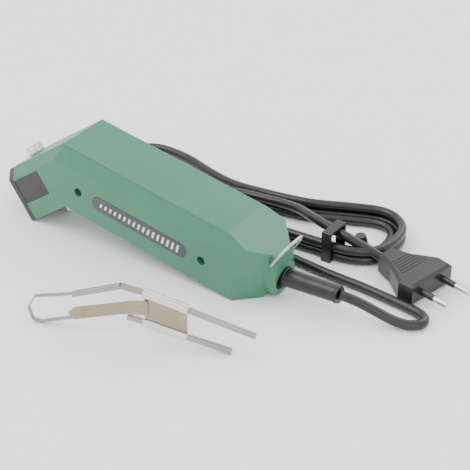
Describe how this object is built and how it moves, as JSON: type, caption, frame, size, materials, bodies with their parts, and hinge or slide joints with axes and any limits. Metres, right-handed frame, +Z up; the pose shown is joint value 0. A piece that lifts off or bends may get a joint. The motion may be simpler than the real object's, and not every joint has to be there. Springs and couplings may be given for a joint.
{
  "type": "hot wire cutter",
  "caption": "Hand-held hot knife cutter: angled green plastic handle, clamped ribbon blade, push-bar trigger, hanging loop and corded two-pin plug.",
  "frame": {"origin": "floor point under the middle of the tool and its blade", "axes": "+X towards the cord end, +Z up, the blade lies on the -Y side"},
  "size_m": [0.28, 0.2063, 0.0607],
  "materials": {
    "black_plastic": "satin",
    "black_rubber": "semi gloss",
    "bobbin_plastic": "moulded",
    "brass": "machined",
    "copper": "drawn copper",
    "core_iron": "laminated",
    "green_shell": "fine texture",
    "label_grey": "satin",
    "nickel": "bright",
    "rod_steel": "bright drawn",
    "steel": "drawn",
    "tinted_steel": "heat tinted"
  },
  "bodies": {
    "housing": {"cord_clamp": "black_plastic", "cord_clamp_screws": "steel", "cord_hank": "black_rubber", "cord_lead": "black_rubber", "cord_outer_turn": "black_rubber", "cord_tail": "black_rubber", "cord_tie": "black_rubber", "housing_left": "green_shell", "housing_right": "green_shell", "housing_screws": "steel", "inner_cord": "black_rubber", "label_plate": "label_grey", "lower_busbar": "copper", "lower_clamp_block": "brass", "microswitch": "black_plastic", "nose_insulator": "black_plastic", "pin_sleeves": "black_plastic", "plug_body": "black_plastic", "plug_pins": "nickel", "primary_winding": "copper", "secondary_winding": "copper", "strain_relief": "black_rubber", "thermal_cutout": "black_plastic", "tie_button": "black_plastic", "transformer_bobbin": "bobbin_plastic", "transformer_core": "core_iron", "trigger_spring": "steel", "upper_busbar": "copper", "upper_clamp_block": "brass"},
    "trigger": {"trigger": "black_plastic"},
    "upper_screw": {"upper_clamp_screw": "nickel"},
    "lower_screw": {"lower_clamp_screw": "nickel"},
    "hanging_loop": {"bail": "steel"},
    "blade": {"upper_rod": "rod_steel", "lower_rod": "rod_steel", "upper_sleeve": "nickel", "lower_sleeve": "nickel", "clamp_plate": "tinted_steel", "cutting_foot": "tinted_steel", "heating_ribbon": "rod_steel"}
  },
  "joints": [
    {"name": "trigger_press", "type": "slide", "parent": "housing", "child": "trigger", "axis": [0.159, 0, 0.9873], "range_m": [0, 0.0024], "stiffness_N_per_m": 400, "springref_m": -0.002, "deforming": ["trigger_spring"]},
    {"name": "upper_screw_turn", "type": "hinge", "parent": "housing", "child": "upper_screw", "pos_m": [-0.10151, 0.0399, 0.02637], "axis": [-0.5857, 0, 0.8105], "range_deg": [-1080, 0]},
    {"name": "lower_screw_turn", "type": "hinge", "parent": "housing", "child": "lower_screw", "pos_m": [-0.08629, 0.0399, 0.01454], "axis": [0.5857, 0, -0.8105], "range_deg": [-1080, 0]},
    {"name": "loop_swing", "type": "hinge", "parent": "housing", "child": "hanging_loop", "pos_m": [0.07391, 0.0399, 0.02443], "axis": [0, 1, 0], "range_deg": [-38, 0]},
    {"name": "blade_lift", "type": "slide", "parent": "housing", "child": "blade", "axis": [0, 0, 1], "range_m": [0, 0.06]}
  ]
}
